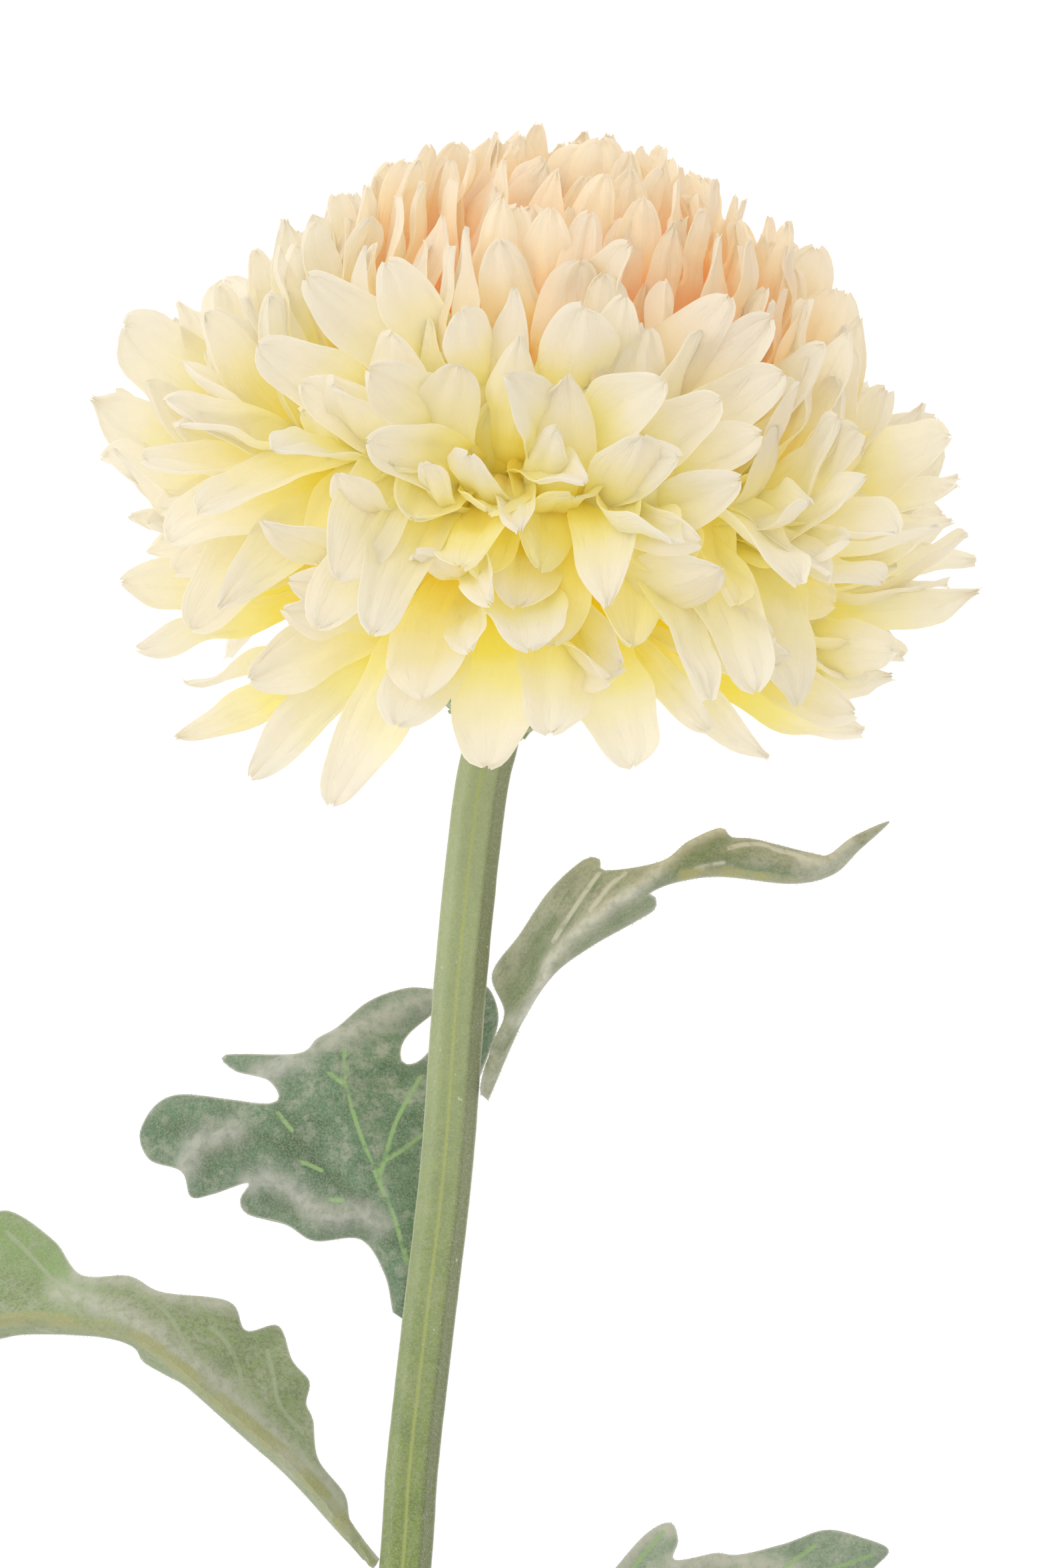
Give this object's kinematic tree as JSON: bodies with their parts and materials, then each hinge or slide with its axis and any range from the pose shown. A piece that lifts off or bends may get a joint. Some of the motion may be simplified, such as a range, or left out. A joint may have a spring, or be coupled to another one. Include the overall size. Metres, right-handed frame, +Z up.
{
  "type": "cut pompon chrysanthemum",
  "caption": "Single cut chrysanthemum lying on its bloom: a domed peach and cream petalled head on a ribbed green stem with lobed leaves.",
  "frame": {"origin": "on the table under the heart of the bloom, on the flat of the petal that rests there", "axes": "+Y from the cut end towards the bloom, +Z up from the table, +X to the right of the stem"},
  "size_m": [0.1853, 0.3696, 0.1414],
  "materials": {
    "petal_peach": "fine woven petal fabric, peach deepening to orange between the petals, matt with a soft sheen",
    "petal_cream": "fine woven petal fabric, cream tips running to yellow bases, matt with a soft sheen",
    "stem_green": "soft flocked green with lighter ribs",
    "leaf_green": "velvety flocked grey-green with yellow-green veins and pale worn edges"
  },
  "bodies": {
    "root": {"bloom_crown": "petal_peach", "bloom_skirt": "petal_cream", "calyx": "stem_green", "stem": "stem_green", "leaf_a": "leaf_green", "leaf_b": "leaf_green", "leaf_c": "leaf_green", "leaf_d": "leaf_green"}
  },
  "joints": []
}
